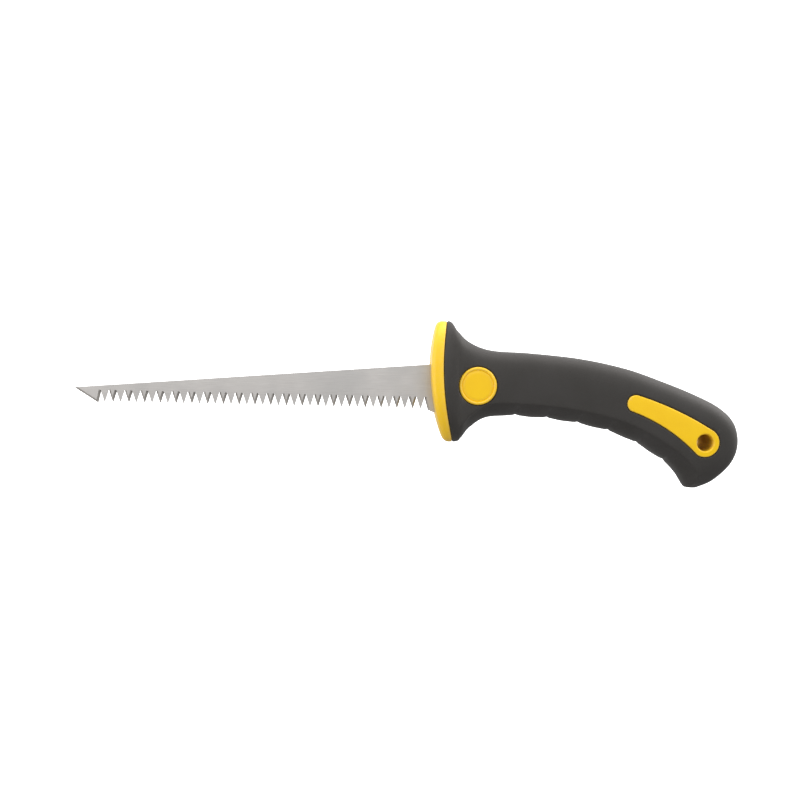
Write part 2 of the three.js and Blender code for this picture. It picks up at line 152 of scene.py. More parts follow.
def catmull(rows, at):
    # a smooth value between rows of numbers, at a fractional row
    last = len(rows) - 1
    first = min(max(int(at), 0), last - 1)
    t = at - first
    a, b = rows[max(first - 1, 0)], rows[first]
    c, d = rows[first + 1], rows[min(first + 2, last)]
    result = []
    for p0, p1, p2, p3 in zip(a, b, c, d):
        v0, v1 = (p2 - p0) / 2, (p3 - p1) / 2
        cubic = 2 * p1 - 2 * p2 + v0 + v1
        square = 3 * p2 - 3 * p1 - 2 * v0 - v1
        result.append((cubic * t + square) * t * t + v0 * t + p1)
    return result


def ease(value, start, end):
    # 0 up to the start, 1 from the end on, and a smooth step between
    t = min(max((value - start) / (end - start), 0), 1)
    return t * t * (3 - 2 * t)


def newMaterial(name):
    material = bpy.data.materials.new(name)
    material.use_nodes = True
    tree = material.node_tree
    shader = tree.nodes["Principled BSDF"]
    return material, tree, shader


def addNode(tree, kind, **values):
    node = tree.nodes.new(kind)
    for key, value in values.items():
        setattr(node, key, value)
    return node


def link(tree, source, target):
    tree.links.new(source, target)


def setInput(tree, socket, value):
    # another node's output is linked, anything else is the socket's own value
    if isinstance(value, bpy.types.NodeSocket):
        link(tree, value, socket)
    else:
        socket.default_value = value


def newGroup(name, inputs, outputs):
    group = bpy.data.node_groups.new(name, "ShaderNodeTree")
    for label, value in inputs.items():
        socket = group.interface.new_socket(label, in_out="INPUT", socket_type="NodeSocketFloat")
        socket.default_value = value
    for label in outputs:
        group.interface.new_socket(label, in_out="OUTPUT", socket_type="NodeSocketFloat")
    return group, addNode(group, "NodeGroupInput").outputs, addNode(group, "NodeGroupOutput").inputs


def placeGroup(tree, group, **values):
    node = addNode(tree, "ShaderNodeGroup", node_tree=group)
    for key, value in values.items():
        node.inputs[key].default_value = value
    return node.outputs


def mathNode(tree, operation, *values, clamp=False):
    node = addNode(tree, "ShaderNodeMath", operation=operation, use_clamp=clamp)
    for socket, value in zip(node.inputs, values):
        setInput(tree, socket, value)
    return node.outputs[0]


def rangeNode(tree, value, low, high, toLow, toHigh):
    node = addNode(tree, "ShaderNodeMapRange", interpolation_type="SMOOTHSTEP")
    keys = ("Value", "From Min", "From Max", "To Min", "To Max")
    for key, number in zip(keys, (value, low, high, toLow, toHigh)):
        setInput(tree, node.inputs[key], number)
    return node.outputs["Result"]


def noiseNode(tree, vector, scale, detail, roughness=0.5):
    node = addNode(tree, "ShaderNodeTexNoise")
    for key, value in (("Vector", vector), ("Scale", scale), ("Detail", detail), ("Roughness", roughness)):
        setInput(tree, node.inputs[key], value)
    return node.outputs["Fac"]


def mixColour(tree, factor, a, b):
    node = addNode(tree, "ShaderNodeMix", data_type="RGBA")
    for index, value in ((0, factor), (6, a), (7, b)):
        setInput(tree, node.inputs[index], value)
    return node.outputs[2]


def coordinates(tree, kind="Object"):
    return addNode(tree, "ShaderNodeTexCoord").outputs[kind]


def splitNode(tree, vector):
    split = addNode(tree, "ShaderNodeSeparateXYZ")
    link(tree, vector, split.inputs["Vector"])
    return split.outputs


def rgb(red, green, blue):
    # a screen colour, 0 to 255, as the linear colour that a shader takes
    channels = [c / 255 for c in (red, green, blue)]
    return [c / 12.92 if c <= 0.04045 else ((c + 0.055) / 1.055) ** 2.4 for c in channels] + [1]


def makeGrainGroup():
    # moulded skin: fine pebbles with slow clouds of colour and gloss over them
    group, entry, out = newGroup("mouldedGrain", {"Pebble": 3000, "Cloud": 60}, ["Height", "Clouds"])
    coords = coordinates(group)
    pebbles = noiseNode(group, coords, entry["Pebble"], 2, 0.6)
    clouds = noiseNode(group, coords, entry["Cloud"], 3)
    link(group, pebbles, out["Height"])
    link(group, rangeNode(group, clouds, 0.3, 0.7, 0, 1), out["Clouds"])
    return group


def makeRubAndHighlightGroup():
    # corners rub bright and carry a painted highlight: a mask from how sharply the surface turns, broken up
    # by noise
    group, entry, out = newGroup("cornerRubAndHighlight", {"Start": 0.52, "End": 0.6, "Breakup": 700}, ["Mask"])
    turn = addNode(group, "ShaderNodeNewGeometry").outputs["Pointiness"]
    corner = rangeNode(group, turn, entry["Start"], entry["End"], 0, 1)
    noise = noiseNode(group, coordinates(group), entry["Breakup"], 3)
    broken = rangeNode(group, noise, 0.3, 0.65, 0.35, 1)
    link(group, mathNode(group, "MULTIPLY", corner, broken, clamp=True), out["Mask"])
    return group


def makeStreakGroup():
    # long fine scratches left by a belt, along X
    inputs = {"Fine": 9000, "Stretch": 0.012}
    group, entry, out = newGroup("beltStreaks", inputs, ["Streaks", "Height", "Clouds"])
    coords = coordinates(group)
    scale = addNode(group, "ShaderNodeCombineXYZ")
    for key, value in (("X", entry["Stretch"]), ("Y", 1), ("Z", 1)):
        setInput(group, scale.inputs[key], value)
    stretched = addNode(group, "ShaderNodeVectorMath", operation="MULTIPLY")
    link(group, coords, stretched.inputs[0])
    link(group, scale.outputs["Vector"], stretched.inputs[1])
    fine = noiseNode(group, stretched.outputs["Vector"], entry["Fine"], 4, 0.7)
    clouds = noiseNode(group, coords, 45, 2)
    link(group, rangeNode(group, fine, 0.3, 0.7, 0, 1), out["Streaks"])
    link(group, fine, out["Height"])
    link(group, rangeNode(group, clouds, 0.35, 0.65, 0, 1), out["Clouds"])
    return group


def makeHoleShadeGroup():
    # painted shade deep inside the hanging hole, darker with depth from either mouth; the hole's axis is the
    # frame's Y axis
    inputs = {"Radius": 4.2 * mm, "Mouth": 14 * mm, "Deep": 8 * mm}
    group, entry, out = newGroup("holePaintedShade", inputs, ["Mask"])
    place = splitNode(group, coordinates(group))
    flat = addNode(group, "ShaderNodeCombineXYZ")
    for key in ("X", "Z"):
        link(group, place[key], flat.inputs[key])
    reach = addNode(group, "ShaderNodeVectorMath", operation="LENGTH")
    link(group, flat.outputs["Vector"], reach.inputs[0])
    inside = mathNode(group, "LESS_THAN", reach.outputs["Value"], entry["Radius"])
    depth = mathNode(group, "ABSOLUTE", place["Y"])
    deep = rangeNode(group, depth, entry["Mouth"], entry["Deep"], 0, 1)
    link(group, mathNode(group, "MULTIPLY", inside, deep), out["Mask"])
    return group


grainGroup = makeGrainGroup()
holeShadeGroup = makeHoleShadeGroup()
rubAndHighlightGroup = makeRubAndHighlightGroup()
streakGroup = makeStreakGroup()


def addBump(tree, shader, height, look):
    bump = addNode(tree, "ShaderNodeBump")
    bump.inputs["Strength"].default_value = look["bump"]
    bump.inputs["Distance"].default_value = look["bumpDepth"] * mm
    link(tree, height, bump.inputs["Height"])
    link(tree, bump.outputs["Normal"], shader.inputs["Normal"])


def rubbedAndHighlitColour(tree, look, grain):
    # clouded base colour, brighter along sharp corners: rubbed wear and a painted highlight
    start, end = look["wornLitCorner"]
    wornLitEdges = placeGroup(tree, rubAndHighlightGroup, Start=start, End=end, Breakup=look["wornLitBreakup"])
    base = mixColour(tree, grain["Clouds"], look["base"], look["cloudy"])
    wornLitShare = mathNode(tree, "MULTIPLY", wornLitEdges["Mask"], look["wornLitAmount"])
    return mixColour(tree, wornLitShare, base, look["rubbedAndHighlit"])


rubberLook = {
    "base": rgb(54, 52, 50),
    "cloudy": rgb(49, 47, 44),
    # lighter rubbed wear and painted highlight along sharp corners
    "rubbedAndHighlit": rgb(72, 71, 69),
    "wornLitCorner": (0.505, 0.56),  # sharpness of a corner where the rubbed wear and painted highlight start and where they are full
    "wornLitBreakup": 500,
    "wornLitAmount": 0.4,
    "roughness": (0.56, 0.7),
    "specular": 0.4,
    "sheen": 0.12,
    "sheenRoughness": 0.4,
    "pebble": 2600,
    "cloud": 55,
    "bump": 0.35,
    "bumpDepth": 0.06,
}


def makeRubber():
    look = rubberLook
    material, tree, shader = newMaterial("gripRubber")
    grain = placeGroup(tree, grainGroup, Pebble=look["pebble"], Cloud=look["cloud"])
    link(tree, rubbedAndHighlitColour(tree, look, grain), shader.inputs["Base Color"])
    low, high = look["roughness"]
    link(tree, rangeNode(tree, grain["Height"], 0.3, 0.7, low, high), shader.inputs["Roughness"])
    shader.inputs["Specular IOR Level"].default_value = look["specular"]
    shader.inputs["Sheen Weight"].default_value = look["sheen"]
    shader.inputs["Sheen Roughness"].default_value = look["sheenRoughness"]
    addBump(tree, shader, grain["Height"], look)
    return material


plasticLook = {
    "base": rgb(252, 206, 8),
    "cloudy": rgb(248, 200, 6),
    # pale rubbed wear and painted highlight along sharp corners
    "rubbedAndHighlit": rgb(247, 205, 116),
    "wornLitCorner": (0.505, 0.55),
    "wornLitBreakup": 900,
    "wornLitAmount": 0.7,
    # painted shade deep inside the hanging hole
    "paintedHoleShade": rgb(206, 166, 40),
    "roughness": (0.3, 0.4),
    "specular": 0.35,
    "pebble": 4200,
    "cloud": 80,
    "bump": 0.12,
    "bumpDepth": 0.03,
}
coreLook = dict(
    plasticLook,
    base=rgb(236, 188, 36),
    cloudy=rgb(228, 178, 30),
    roughness=(0.5, 0.62),
    bump=0.25,
)


def makePlastic(name, look):
    material, tree, shader = newMaterial(name)
    grain = placeGroup(tree, grainGroup, Pebble=look["pebble"], Cloud=look["cloud"])
    # painted shade inside the hanging hole darkens the colour and makes it rougher
    shadeMask = placeGroup(tree, holeShadeGroup)["Mask"]
    colour = mixColour(tree, shadeMask, rubbedAndHighlitColour(tree, look, grain), look["paintedHoleShade"])
    link(tree, colour, shader.inputs["Base Color"])
    low, high = look["roughness"]
    rough = rangeNode(tree, grain["Clouds"], 0, 1, low, high)
    link(tree, mathNode(tree, "MAXIMUM", rough, shadeMask), shader.inputs["Roughness"])
    shader.inputs["Specular IOR Level"].default_value = look["specular"]
    addBump(tree, shader, grain["Height"], look)
    return material


steelLook = {
    "base": rgb(207, 204, 201),
    "streak": rgb(190, 187, 184),
    "clouded": rgb(168, 168, 167),
    "cloudShare": 0.35,
    "ground": rgb(190, 187, 183),
    "groundRoughness": 0.8,
    "roughness": (0.3, 0.42),
    "fine": 9000,
    "stretch": 0.012,
    "bump": 0.15,
    "bumpDepth": 0.01,
}


def makeBladeSteel():
    # flat faces belt finished along their length; ground flanks of the teeth darker and duller
    look = steelLook
    material, tree, shader = newMaterial("bladeSteel")
    streaks = placeGroup(tree, streakGroup, Fine=look["fine"], Stretch=look["stretch"])
    base = mixColour(tree, streaks["Streaks"], look["base"], look["streak"])
    dull = mathNode(tree, "MULTIPLY", streaks["Clouds"], look["cloudShare"])
    base = mixColour(tree, dull, base, look["clouded"])
    sideways = mathNode(tree, "ABSOLUTE", splitNode(tree, coordinates(tree, "Normal"))["Y"])
    ground = rangeNode(tree, sideways, 0.9, 0.98, 1, 0)
    link(tree, mixColour(tree, ground, base, look["ground"]), shader.inputs["Base Color"])
    shader.inputs["Metallic"].default_value = 1
    low, high = look["roughness"]
    rough = rangeNode(tree, streaks["Streaks"], 0, 1, low, high)
    groundRough = mathNode(tree, "MULTIPLY", ground, look["groundRoughness"])
    link(tree, mathNode(tree, "MAXIMUM", rough, groundRough), shader.inputs["Roughness"])
    addBump(tree, shader, streaks["Height"], look)
    return material


fastenerLook = {
    "base": rgb(176, 177, 178),
    "clouded": rgb(158, 158, 156),
    "roughness": (0.34, 0.5),
    "fine": 4000,
    "bump": 0.2,
    "bumpDepth": 0.02,
}


def makeFastenerSteel():
    look = fastenerLook
    material, tree, shader = newMaterial("platedSteel")
    streaks = placeGroup(tree, streakGroup, Fine=look["fine"], Stretch=1)
    link(tree, mixColour(tree, streaks["Clouds"], look["base"], look["clouded"]), shader.inputs["Base Color"])
    shader.inputs["Metallic"].default_value = 1
    low, high = look["roughness"]
    link(tree, rangeNode(tree, streaks["Streaks"], 0, 1, low, high), shader.inputs["Roughness"])
    addBump(tree, shader, streaks["Height"], look)
    return material


rubber = makeRubber()
yellowPlastic = makePlastic("yellowPlastic", plasticLook)
corePlastic = makePlastic("corePlastic", coreLook)
bladeSteel = makeBladeSteel()
platedSteel = makeFastenerSteel()
print("finishes made")


def dress(node, material):
    # a CAD piece keeps its shape and takes a finish
    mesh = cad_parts[node].data
    mesh.materials.clear()
    mesh.materials.append(material)


dress("blade", bladeSteel)
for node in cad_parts:
    if node.startswith("core_"):
        dress(node, corePlastic)
    elif node.startswith(("blade_bolt", "barrel_nut", "tang_rivet", "shell_screw")):
        dress(node, platedSteel)


handle = {
    "gripTop": 16.4,  # crest of the grip above the bolt
    "gripBottom": 13.7,
    "guardTop": 30.3,
    "guardBottom": 25.6,
    "gripHalf": 13.5,  # half its width
    "reach": 15,  # half the height that the profile is drawn for
    "guardHalf": 16,
    "rubberWall": 2.3,
    "ringParts": 4,  # vertices between two corners of the profile
    "ringStep": 0.6,  # between two rings along the handle
    "grooves": 6,
    "grooveStart": 44.9,  # along the belly, from the guard's front
    "groovePitch": 14.5,
    "grooveDepth": 0.45,
    "grooveHalf": 1.9,
    "humpRise": 0.4,  # swell of the rubber between two grooves
    "grooveFade": (-0.62, -0.85),  # height on the profile where a groove runs out and where it is full
    "turnFlat": (0.7, 2.2),  # sections where the guard's oval turns into the grip's profile
    "turnRound": (12.5, 15),  # and where the butt gets rounder again
    "buttRoundness": 0.8,
    "lip": 0.7,  # rounding of the rubber's front edge
    "lipChamfer": 0.3,  # on its inner side
    "innerEnd": 1.5,  # sections from the butt's end to the end of the hollow
    "innerStep": 0.3,
    "dome": [(0.9, 0.25), (0.72, 0.42), (0.5, 0.5), (0.25, 0.55)],  # end of the butt: share and rise
}


def makeSections():
    # crest place and height, belly place and height, half width; from the guard to under the butt.
    # Places are shares of the handle's length; flares and drops are from the grip's own crest and belly.
    top, bottom = handle["gripTop"], handle["gripBottom"]
    half = handle["gripHalf"]

    def flared(crestX, crestFlare, bellyX, bellyFlare, widthFlare):
        return [
            crestX * handleLength, top + (handle["guardTop"] - top) * crestFlare,
            bellyX * handleLength, -bottom - (handle["guardBottom"] - bottom) * bellyFlare,
            half + (handle["guardHalf"] - half) * widthFlare,
        ]

    def slim(crestX, crestDrop, bellyX, bellyDrop, width):
        return [
            crestX * handleLength, top - crestDrop,
            bellyX * handleLength, -bottom - bellyDrop,
            half * width,
        ]

    return [
        flared(-0.01, 1, -0.01, 1, 1),
        flared(0.0605, 1, 0.0765, 1, 0.85),
        flared(0.0875, 0.66, 0.0975, 0.85, 0.5),
        flared(0.1275, 0.28, 0.1285, 0.42, 0.2),
        flared(0.198, 0.015, 0.191, 0.03, 0.05),
        slim(0.325, 1.1, 0.323, 0.5, 1),
        slim(0.488, 3.7, 0.457, 2.9, 1),
        slim(0.6335, 8.2, 0.584, 7.2, 1.01),
        slim(0.75, 14, 0.677, 12.9, 1.02),
        slim(0.854, 20, 0.743, 18.9, 1.02),
        slim(0.936, 26.1, 0.783, 23.3, 1),
        slim(0.983, 33.2, 0.8035, 26.5, 0.96),
        slim(0.9955, 42.7, 0.8135, 28.8, 0.9),
        slim(0.9735, 51.4, 0.8195, 30.3, 0.79),
        slim(0.918, 59.3, 0.8245, 31.5, 0.58),
        slim(0.867, 62.9, 0.8295, 32.5, 0.31),
    ]


# half of the grip's cross section, crest to belly: share of the half width, and height from 1 to -1.
# The two close rows below the side make the crease over the lower facet.
gripProfile = [
    (0, 1), (0.34, 0.985), (0.6, 0.93), (0.78, 0.83), (0.9, 0.68), (0.965, 0.48), (0.994, 0.22),
    (1, -0.1), (0.992, -0.38), (0.982, -0.575), (0.945, -0.625), (0.72, -0.8), (0.48, -0.93),
    (0.24, -0.987), (0, -1),
]


def makeRoundProfile():
    # a squarish oval with as many corners as the grip's profile, for the guard and the end of the butt
    power = 0.8
    last = len(gripProfile) - 1
    corners = []
    for index in range(last + 1):
        angle = math.pi * (0.5 - index / last)
        width = abs(math.cos(angle)) ** power if 0 < index < last else 0
        height = math.copysign(abs(math.sin(angle)) ** power, math.sin(angle))
        corners.append((width, height))
    return corners


def unfold(corners):
    # all round the section: down the right side and up the left one, finer than the corners
    parts = handle["ringParts"]
    last = len(corners) - 1
    right = [catmull(corners, i / parts) for i in range(last * parts + 1)]
    left = [[-width, height] for width, height in reversed(right[1:-1])]
    return right + left


sections = makeSections()
lastSection = len(sections) - 1
gripRing = unfold(gripProfile)
roundRing = unfold(makeRoundProfile())
bellyParts = 50  # places along one section where the belly line is measured


def makeBellyLengths():
    # length of the belly line from the guard to each of those places
    rows = [catmull(sections, index / bellyParts) for index in range(lastSection * bellyParts + 1)]
    line = [Vector((row[2], row[3])) for row in rows]
    lengths = [0]
    for before, here in zip(line, line[1:]):
        lengths.append(lengths[-1] + (here - before).length)
    return lengths


bellyLengths = makeBellyLengths()


def grooveAt(section, height):
    # depth of the finger grooves: deepest under the belly, running out below the crease
    length = bellyLengths[min(round(section * bellyParts), len(bellyLengths) - 1)]
    nearest = round((length - handle["grooveStart"]) / handle["groovePitch"])
    if not 0 <= nearest < handle["grooves"]:
        return 0
    away = abs(length - handle["grooveStart"] - nearest * handle["groovePitch"])
    cut = handle["grooveDepth"] * (1 - ease(away, 0, handle["grooveHalf"]))
    cut += handle["humpRise"] * (1 + math.cos(2 * math.pi * away / handle["groovePitch"])) / 2
    return cut * ease(height, *handle["grooveFade"])


def keepEnds(height, small):
    # a taller section stretches in its middle: shoulder and lower facet keep their size
    fromEnd = 1 - abs(height)
    return math.copysign(1 - fromEnd * small - (1 - small) * fromEnd ** 5, height)


def handleRing(section, inset=0):
    # the handle's skin at one section, shrunk by an inset
    crestX, crestZ, bellyX, bellyZ, half = catmull(sections, section)
    crest, belly = Vector((crestX, crestZ)), Vector((bellyX, bellyZ))
    middle, up = (crest + belly) / 2, (crest - belly) / 2
    reach = up.length
    up.normalize()
    flat = ease(section, *handle["turnFlat"])
    flat *= 1 - handle["buttRoundness"] * ease(section, *handle["turnRound"])
    small = min(handle["reach"] / reach, 1)
    points = []
    for (gripWide, gripHigh), (roundWide, roundHigh) in zip(gripRing, roundRing):
        wide = roundWide + (gripWide - roundWide) * flat
        high = roundHigh + (keepEnds(gripHigh, small) - roundHigh) * flat
        groove = 0 if inset else grooveAt(section, high)
        along = middle + up * (high * (reach - inset) + groove)
        points.append(toFrame(along.x, wide * (half - inset), along.y))
    return points


# the bowed faces of the rim and of the rubber behind it
guard = {
    "rim": 5.3,  # thickness on the bow's line
    "bowHeight": 7.5,  # foremost line above the bolt
    "frontRadius": 94,
    "rearRadius": 125,
    "gap": 0.25,  # to the rubber
    "rounding": 2.2,  # of the front edge
    "rearRounding": 0.45,
    "slotHalf": 0.95,
    "slotTop": 11.1,
    "slotBottom": -12.3,
    "slotShare": 0.42,  # height of a point of the slot's sides, from the outline's
    "slotEdge": 0.25,  # chamfer round the slot
    "faceShares": (0.2, 0.4, 0.6, 0.8, 0.93, 0.98, 1),  # rings from the face's edge in to the slot
    "pocket": (9.3, 14.3, 3.5),  # half width, half height and floor of the recess for the core
    "pocketPower": 8,  # the higher, the squarer the recess
}


def bowed(radius, foremost, z):
    return foremost + radius - math.sqrt(radius ** 2 - (z - guard["bowHeight"]) ** 2)


guardOutline = [(v.y / mm, (v.z - boltZ) / mm) for v in handleRing(0)]


def onBow(outline, radius, foremost):
    return [toFrame(bowed(radius, foremost, z), y, z) for y, z in outline]


def insetOutline(outline, distance):
    # moved in by a distance, square to its own run
    result = []
    for index, (y, z) in enumerate(outline):
        before, after = outline[index - 1], outline[(index + 1) % len(outline)]
        run = Vector((after[0] - before[0], after[1] - before[1])).normalized()
        result.append((y + run.y * distance, z - run.x * distance))
    return result


def neckRings(first):
    # from the front lip, level at first, into the slope that the handle's skin has at its section 1
    neck, behind = handleRing(1), handleRing(1.02)
    steps = 8
    rings = []
    for step in range(1, steps + 1):
        t = step / steps
        ring = []
        for a, b, c in zip(first, neck, behind):
            run = b.x - a.x
            start = Vector((run, 0, 0))
            end = (c - b) * (run / (c.x - b.x))
            point = a.lerp(b, t * t * (3 - 2 * t))
            ring.append(point + start * (t * (1 - t) ** 2) - end * (t * t * (1 - t)))
        rings.append(ring)
    return rings


def makeOuterPlaces():
    # sections behind the first one, evenly spaced along the skin, closer where the belly is long
    ahead, least, spare = 0.1, 3, 0.02
    section, places = 1, []
    while section < lastSection - spare:
        places.append(section)
        here, there = catmull(sections, section), catmull(sections, section + ahead)
        crestRun = math.hypot(there[0] - here[0], there[1] - here[1]) / ahead
        bellyRun = math.hypot(there[2] - here[2], there[3] - here[3]) / ahead
        section += handle["ringStep"] / max((crestRun + bellyRun) / 2, bellyRun, least)
    return places[1:] + [lastSection]


def makeGrip():
    # inner skin from its end to the front, over the front lip, and back along the outside
    wall, lip = handle["rubberWall"], handle["lip"]
    front, radius = guard["rim"] + guard["gap"], guard["rearRadius"]
    innerEnd, innerStep = lastSection - handle["innerEnd"], handle["innerStep"]
    bm = bmesh.new()
    loop = startRing(bm, handleRing(innerEnd, wall))
    bmesh.ops.contextual_create(bm, geom=loop)
    inner = [innerEnd - innerStep * i for i in range(1, int((innerEnd - 1) / innerStep) + 1)]
    loop = growRings(bm, loop, [handleRing(section, wall) for section in inner])
    rings = [
        onBow(insetOutline(guardOutline, wall), radius, front + lip),
        onBow(insetOutline(guardOutline, wall - handle["lipChamfer"]), radius, front),
    ]
    for degrees in range(0, 91, 18):
        turn = math.radians(degrees)
        outline = insetOutline(guardOutline, lip * (1 - math.sin(turn)))
        rings.append(onBow(outline, radius, front + lip * (1 - math.cos(turn))))
    loop = growRings(bm, loop, rings)
    loop = growRings(bm, loop, neckRings(rings[-1]))
    loop = growRings(bm, loop, [handleRing(section) for section in makeOuterPlaces()])
    # the end of the butt closes in a shallow dome
    end = handleRing(lastSection)
    before = handleRing(lastSection - innerStep)
    centre = sum(end, Vector()) / len(end)
    outward = (centre - sum(before, Vector()) / len(before)).normalized()
    for share, rise in handle["dome"]:
        loop = growRing(bm, loop, [centre.lerp(p, share) + outward * rise * mm for p in end])
    bmesh.ops.contextual_create(bm, geom=loop)
    return bm


gripForm = makeGrip()
bmesh.ops.recalc_face_normals(gripForm, faces=gripForm.faces)
skinTree = BVHTree.FromBMesh(gripForm)


def skinAt(x, z):
    # how far the right side of the skin stands from the middle plane at a point of the side view
    beside = 60  # well outside the handle
    hit = skinTree.ray_cast(toFrame(x, beside, z), Vector((0, -1, 0)))[0]
    return hit.y / mm


badge = {
    "x": ((badgeLow.x + badgeHigh.x) / 2 - guardX) / mm,
    "z": ((badgeLow.z + badgeHigh.z) / 2 - boltZ) / mm,
    "radius": 8.5,
    "gap": 0.3,  # to the rubber all round
    "outlineParts": 120,
    "rim": 1.2,  # width of the raised rim
    "top": 14.25,  # raised rim, from the middle plane
    "face": 13.95,  # plain face
    "groove": 13.75,  # bottom of the ring between them
    "grooveWidth": 0.5,
    "base": 10.95,
    "spigot": 5,
    "spigotBase": 8.95,
    "rounding": 0.7,
    "crown": 0.1,  # rise of the face's middle
    "rimCorner": [(0.15, -0.01), (0, -0.12)],  # soft corners, each as steps out and up from its edge
    "outerCorner": [(-0.08, 0.1), (-0.18, 0)],
    "innerCorner": [(0.18, 0), (0.08, 0.08)],
    "faceCorner": [(0, -0.08), (-0.15, 0)],
    "turns": 96,
}

inlay = {
    "noseRadius": 3.9,
    "ringRadius": 6.5,
    "upperBow": 1.1,
    "lowerBow": 2.1,
    "holeRadius": 3.8,
    "tubeRadius": 5.8,
    "gap": 0.28,  # to the rubber all round
    "proud": 0.12,
    "rounding": 0.45,
    "lip": 0.65,  # rounded mouth of the hole
    "thick": 2.2,
    "middleGap": 0.02,  # tube's end to the middle plane
    "arcParts": 30,
    "sideParts": 44,
    "nosePlace": (7.37, 0.512),  # section, and share of the way up from the belly
    "spineBow": 1.6,  # of the line that the inlay's top closes on
    "spineShare": 0.8,
    "slack": 0.5,  # about the tube's radius, to find its edges
}
holeCentre = Vector((-guardX, -boltZ)) / mm  # the frame's origin is the middle of the hanging hole
noseSection, noseShare = inlay["nosePlace"]
crestX, crestZ, bellyX, bellyZ, _ = catmull(sections, noseSection)
noseCentre = Vector((bellyX, bellyZ)).lerp(Vector((crestX, crestZ)), noseShare)
spineReach = holeCentre - noseCentre
spineAngle = math.atan2(spineReach.y, spineReach.x)
flankAngle = math.acos((inlay["noseRadius"] - inlay["ringRadius"]) / spineReach.length)
upperAngle, lowerAngle = spineAngle + flankAngle, spineAngle - flankAngle


def polar(centre, radius, angle):
    return centre + Vector((math.cos(angle), math.sin(angle))) * radius


def arcPoints(centre, radius, start, end, parts):
    return [polar(centre, radius, start + (end - start) * i / parts) for i in range(parts)]


def bentPoints(start, end, bow, parts):
    lift = Vector((-(end - start).y, (end - start).x)).normalized() * bow * 2
    middle = (start + end) / 2 + lift
    result = []
    for i in range(parts):
        t = i / parts
        result.append(start.lerp(middle, t).lerp(middle.lerp(end, t), t))
    return result


def dropOutline(grow):
    # small round nose, lower side, ring about the hole, upper side
    nose, ring = inlay["noseRadius"] + grow, inlay["ringRadius"] + grow
    upper, lower = upperAngle, lowerAngle
    arc, side = inlay["arcParts"], inlay["sideParts"]
    noseLow, ringLow = polar(noseCentre, nose, lower), polar(holeCentre, ring, lower)
    noseHigh, ringHigh = polar(noseCentre, nose, upper), polar(holeCentre, ring, upper)
    outline = arcPoints(noseCentre, nose, upper, lower + 2 * math.pi, arc)
    outline += bentPoints(noseLow, ringLow, inlay["lowerBow"], side)
    outline += arcPoints(holeCentre, ring, lower, upper, arc)
    outline += bentPoints(ringHigh, noseHigh, -inlay["upperBow"], side)
    return outline


def badgeOutline(grow):
    centre = Vector((badge["x"], badge["z"]))
    return arcPoints(centre, badge["radius"] + grow, 0, 2 * math.pi, badge["outlineParts"])


def skinRing(points, above):
    # points of the side view, set on the skin or a little above or below it
    return [toFrame(p.x, skinAt(p.x, p.y) + above, p.y) for p in points]


window = {
    "floor": 7.5,  # from the middle plane
    "lip": 0.5,  # rounding of the rubber's edge
    "turns": (0, 18, 36, 54, 70),
    "spread": 0.9,
    "above": 0.5,
    "outside": 22,
}


def makeWindowCutter(outlineOf, gap, side):
    # straight walls, then a rounded lip that opens outwards through the skin
    lip = window["lip"]
    bm = bmesh.new()
    loop = startRing(bm, [toFrame(p.x, window["floor"], p.y) for p in outlineOf(gap)])
    bmesh.ops.contextual_create(bm, geom=loop)
    for degrees in window["turns"]:
        turn = math.radians(degrees)
        spread = outlineOf(gap + lip * (1 - math.cos(turn)))
        loop = growRing(bm, loop, skinRing(spread, -lip * (1 - math.sin(turn))))
    outer = outlineOf(gap + lip + window["spread"])
    loop = growRing(bm, loop, skinRing(outer, window["above"]))
    loop = growRing(bm, loop, [toFrame(p.x, window["outside"], p.y) for p in outer])
    bmesh.ops.contextual_create(bm, geom=loop)
    if side < 0:
        mirrored(bm)
    return finishPiece("cutter", bm, rubber, None)


gripSharp = 50
grip = finishPiece("rubber_grip", gripForm, rubber, "grip_rubber", "grip", sharp=gripSharp)
cutters = []
for side in (1, -1):
    cutters.append(makeWindowCutter(badgeOutline, badge["gap"], side))
    cutters.append(makeWindowCutter(dropOutline, inlay["gap"], side))
cutWith(grip, cutters)
softShade(grip.data, gripSharp)
print("grip made:", len(grip.data.polygons), "faces")


def slotOutline(places):
    # a tall narrow slot, a point for each of the outline's
    result = []
    for y, z in places:
        level = min(max(z * guard["slotShare"], guard["slotBottom"]), guard["slotTop"])
        result.append((math.copysign(guard["slotHalf"], y) if abs(y) > weldGap else 0, level))
    return result


def boxOutline(halfWidth, halfHeight, places):
    # a squarish outline, each point in the same direction as the outline's
    power = guard["pocketPower"]
    result = []
    for y, z in places:
        angle = math.atan2(z / halfHeight, y / halfWidth)
        c, s = math.cos(angle), math.sin(angle)
        square = (abs(c) ** power + abs(s) ** power) ** (-1 / power)
        result.append((c * square * halfWidth, s * square * halfHeight))
    return result


def mixOutline(a, b, t):
    return [(p[0] + (q[0] - p[0]) * t, p[1] + (q[1] - p[1]) * t) for p, q in zip(a, b)]


